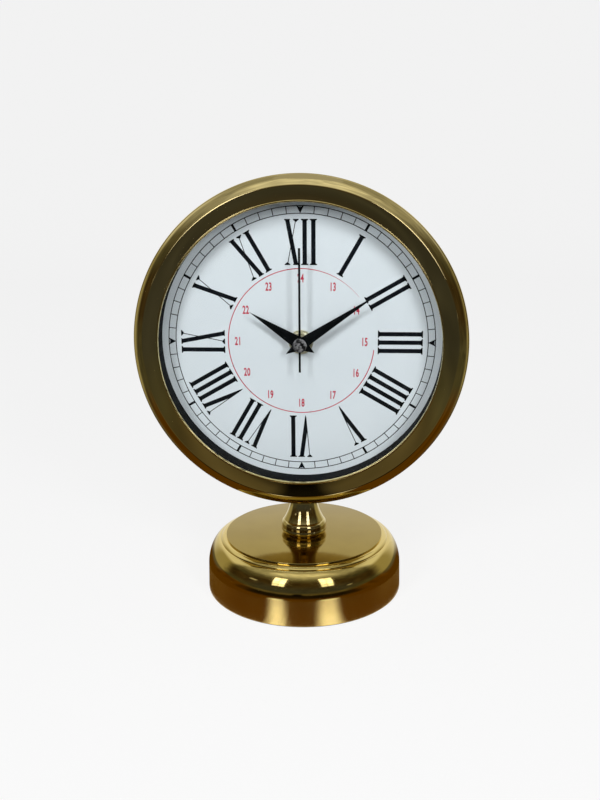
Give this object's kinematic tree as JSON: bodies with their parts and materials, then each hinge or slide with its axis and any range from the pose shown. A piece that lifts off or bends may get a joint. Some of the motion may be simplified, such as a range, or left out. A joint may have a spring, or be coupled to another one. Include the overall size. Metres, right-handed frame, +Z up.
{
  "type": "table clock",
  "caption": "Brass table clock: round glazed head with a paper dial and three hands, on a turned neck and a domed base, run by a battery quartz movement.",
  "frame": {"origin": "middle of the underside of the base, on the table", "axes": "+Z up, the dial faces -Y, +X to the right seen from the front"},
  "size_m": [0.165, 0.106, 0.2205],
  "materials": {
    "felt": "glued dark green baize",
    "base_brass": "lacquered brass, polished shoulder, satin top and wall",
    "neck_brass": "polished brass",
    "bezel_brass": "polished brass",
    "case_brass": "lacquered brass, fine spun lines",
    "screw_brass": "polished brass",
    "stem_brass": "bright brass",
    "iron": "cast",
    "steel": "zinc plated",
    "glass": "clear flat",
    "black_plastic": "moulded",
    "dial_paper": "printed white",
    "aluminium_sheet": "sheet",
    "movement_black": "moulded, fine texture",
    "knob_black": "moulded",
    "white_plastic": "moulded acetal",
    "rubber": "soft",
    "cell_jacket": "printed sleeve",
    "copper": "enamelled copper winding",
    "board": "glass-fibre board",
    "magnet": "moulded magnet",
    "hand_black": "black lacquer on thin sheet"
  },
  "bodies": {
    "case": {"base_felt": "felt", "base_shell": "base_brass", "base_weight": "iron", "neck": "neck_brass", "tie_rod": "steel", "tie_rod_washers": "steel", "tie_rod_nuts": "steel", "case_drum": "case_brass", "bezel": "bezel_brass", "glass": "glass", "spacer_ring": "black_plastic", "dial_face": "dial_paper", "dial_plate": "aluminium_sheet", "back_cover": "case_brass", "back_screws": "screw_brass", "movement_housing": "movement_black", "movement_cover": "movement_black", "movement_bridge": "white_plastic", "threaded_bush": "stem_brass", "rubber_washer": "rubber", "stem_washer": "stem_brass", "stem_nut": "stem_brass", "battery_cell": "cell_jacket", "contact_positive": "steel", "contact_negative": "steel", "stator": "steel", "coil_core": "steel", "coil": "copper", "circuit_board": "board", "crystal_can": "steel"},
    "seconds": {"second_wheel": "white_plastic", "second_hand": "hand_black"},
    "intermediate": {"intermediate_wheel": "white_plastic"},
    "motor_rotor": {"rotor": "magnet"},
    "third": {"third_wheel": "white_plastic"},
    "centre": {"centre_wheel": "white_plastic"},
    "minutes": {"cannon_pinion": "stem_brass", "minute_hand": "hand_black"},
    "hours": {"hour_wheel": "white_plastic", "hour_hand": "hand_black"},
    "setting": {"minute_wheel": "white_plastic", "setting_knob": "knob_black"}
  },
  "joints": [
    {"name": "second_hand_turn", "type": "hinge", "parent": "case", "child": "seconds", "pos_m": [0, 0, 0.138], "axis": [0, 1, 0], "continuous": true},
    {"name": "intermediate_turn", "type": "hinge", "parent": "case", "child": "intermediate", "pos_m": [0.00217, 0, 0.14611], "axis": [0, 1, 0], "continuous": true},
    {"name": "rotor_turn", "type": "hinge", "parent": "case", "child": "motor_rotor", "pos_m": [0.0038, 0, 0.1522], "axis": [0, 1, 0], "continuous": true},
    {"name": "third_turn", "type": "hinge", "parent": "case", "child": "third", "pos_m": [-0.00883, 0, 0.1431], "axis": [0, 1, 0], "continuous": true},
    {"name": "centre_turn", "type": "hinge", "parent": "case", "child": "centre", "pos_m": [0, 0, 0.138], "axis": [0, 1, 0], "continuous": true},
    {"name": "minute_hand_turn", "type": "hinge", "parent": "case", "child": "minutes", "pos_m": [0, 0, 0.138], "axis": [0, 1, 0], "continuous": true},
    {"name": "hour_hand_turn", "type": "hinge", "parent": "case", "child": "hours", "pos_m": [0, 0, 0.138], "axis": [0, 1, 0], "continuous": true},
    {"name": "setting_knob_turn", "type": "hinge", "parent": "case", "child": "setting", "pos_m": [0.0108, 0, 0.138], "axis": [0, 1, 0], "continuous": true}
  ],
  "couplings": [
    {"joint": "intermediate_turn", "follows": "second_hand_turn", "ratio": -6},
    {"joint": "rotor_turn", "follows": "second_hand_turn", "ratio": 30},
    {"joint": "third_turn", "follows": "second_hand_turn", "ratio": -0.13333},
    {"joint": "centre_turn", "follows": "second_hand_turn", "ratio": 0.016667},
    {"joint": "setting_knob_turn", "follows": "minute_hand_turn", "ratio": -0.33333},
    {"joint": "hour_hand_turn", "follows": "minute_hand_turn", "ratio": 0.083333}
  ]
}
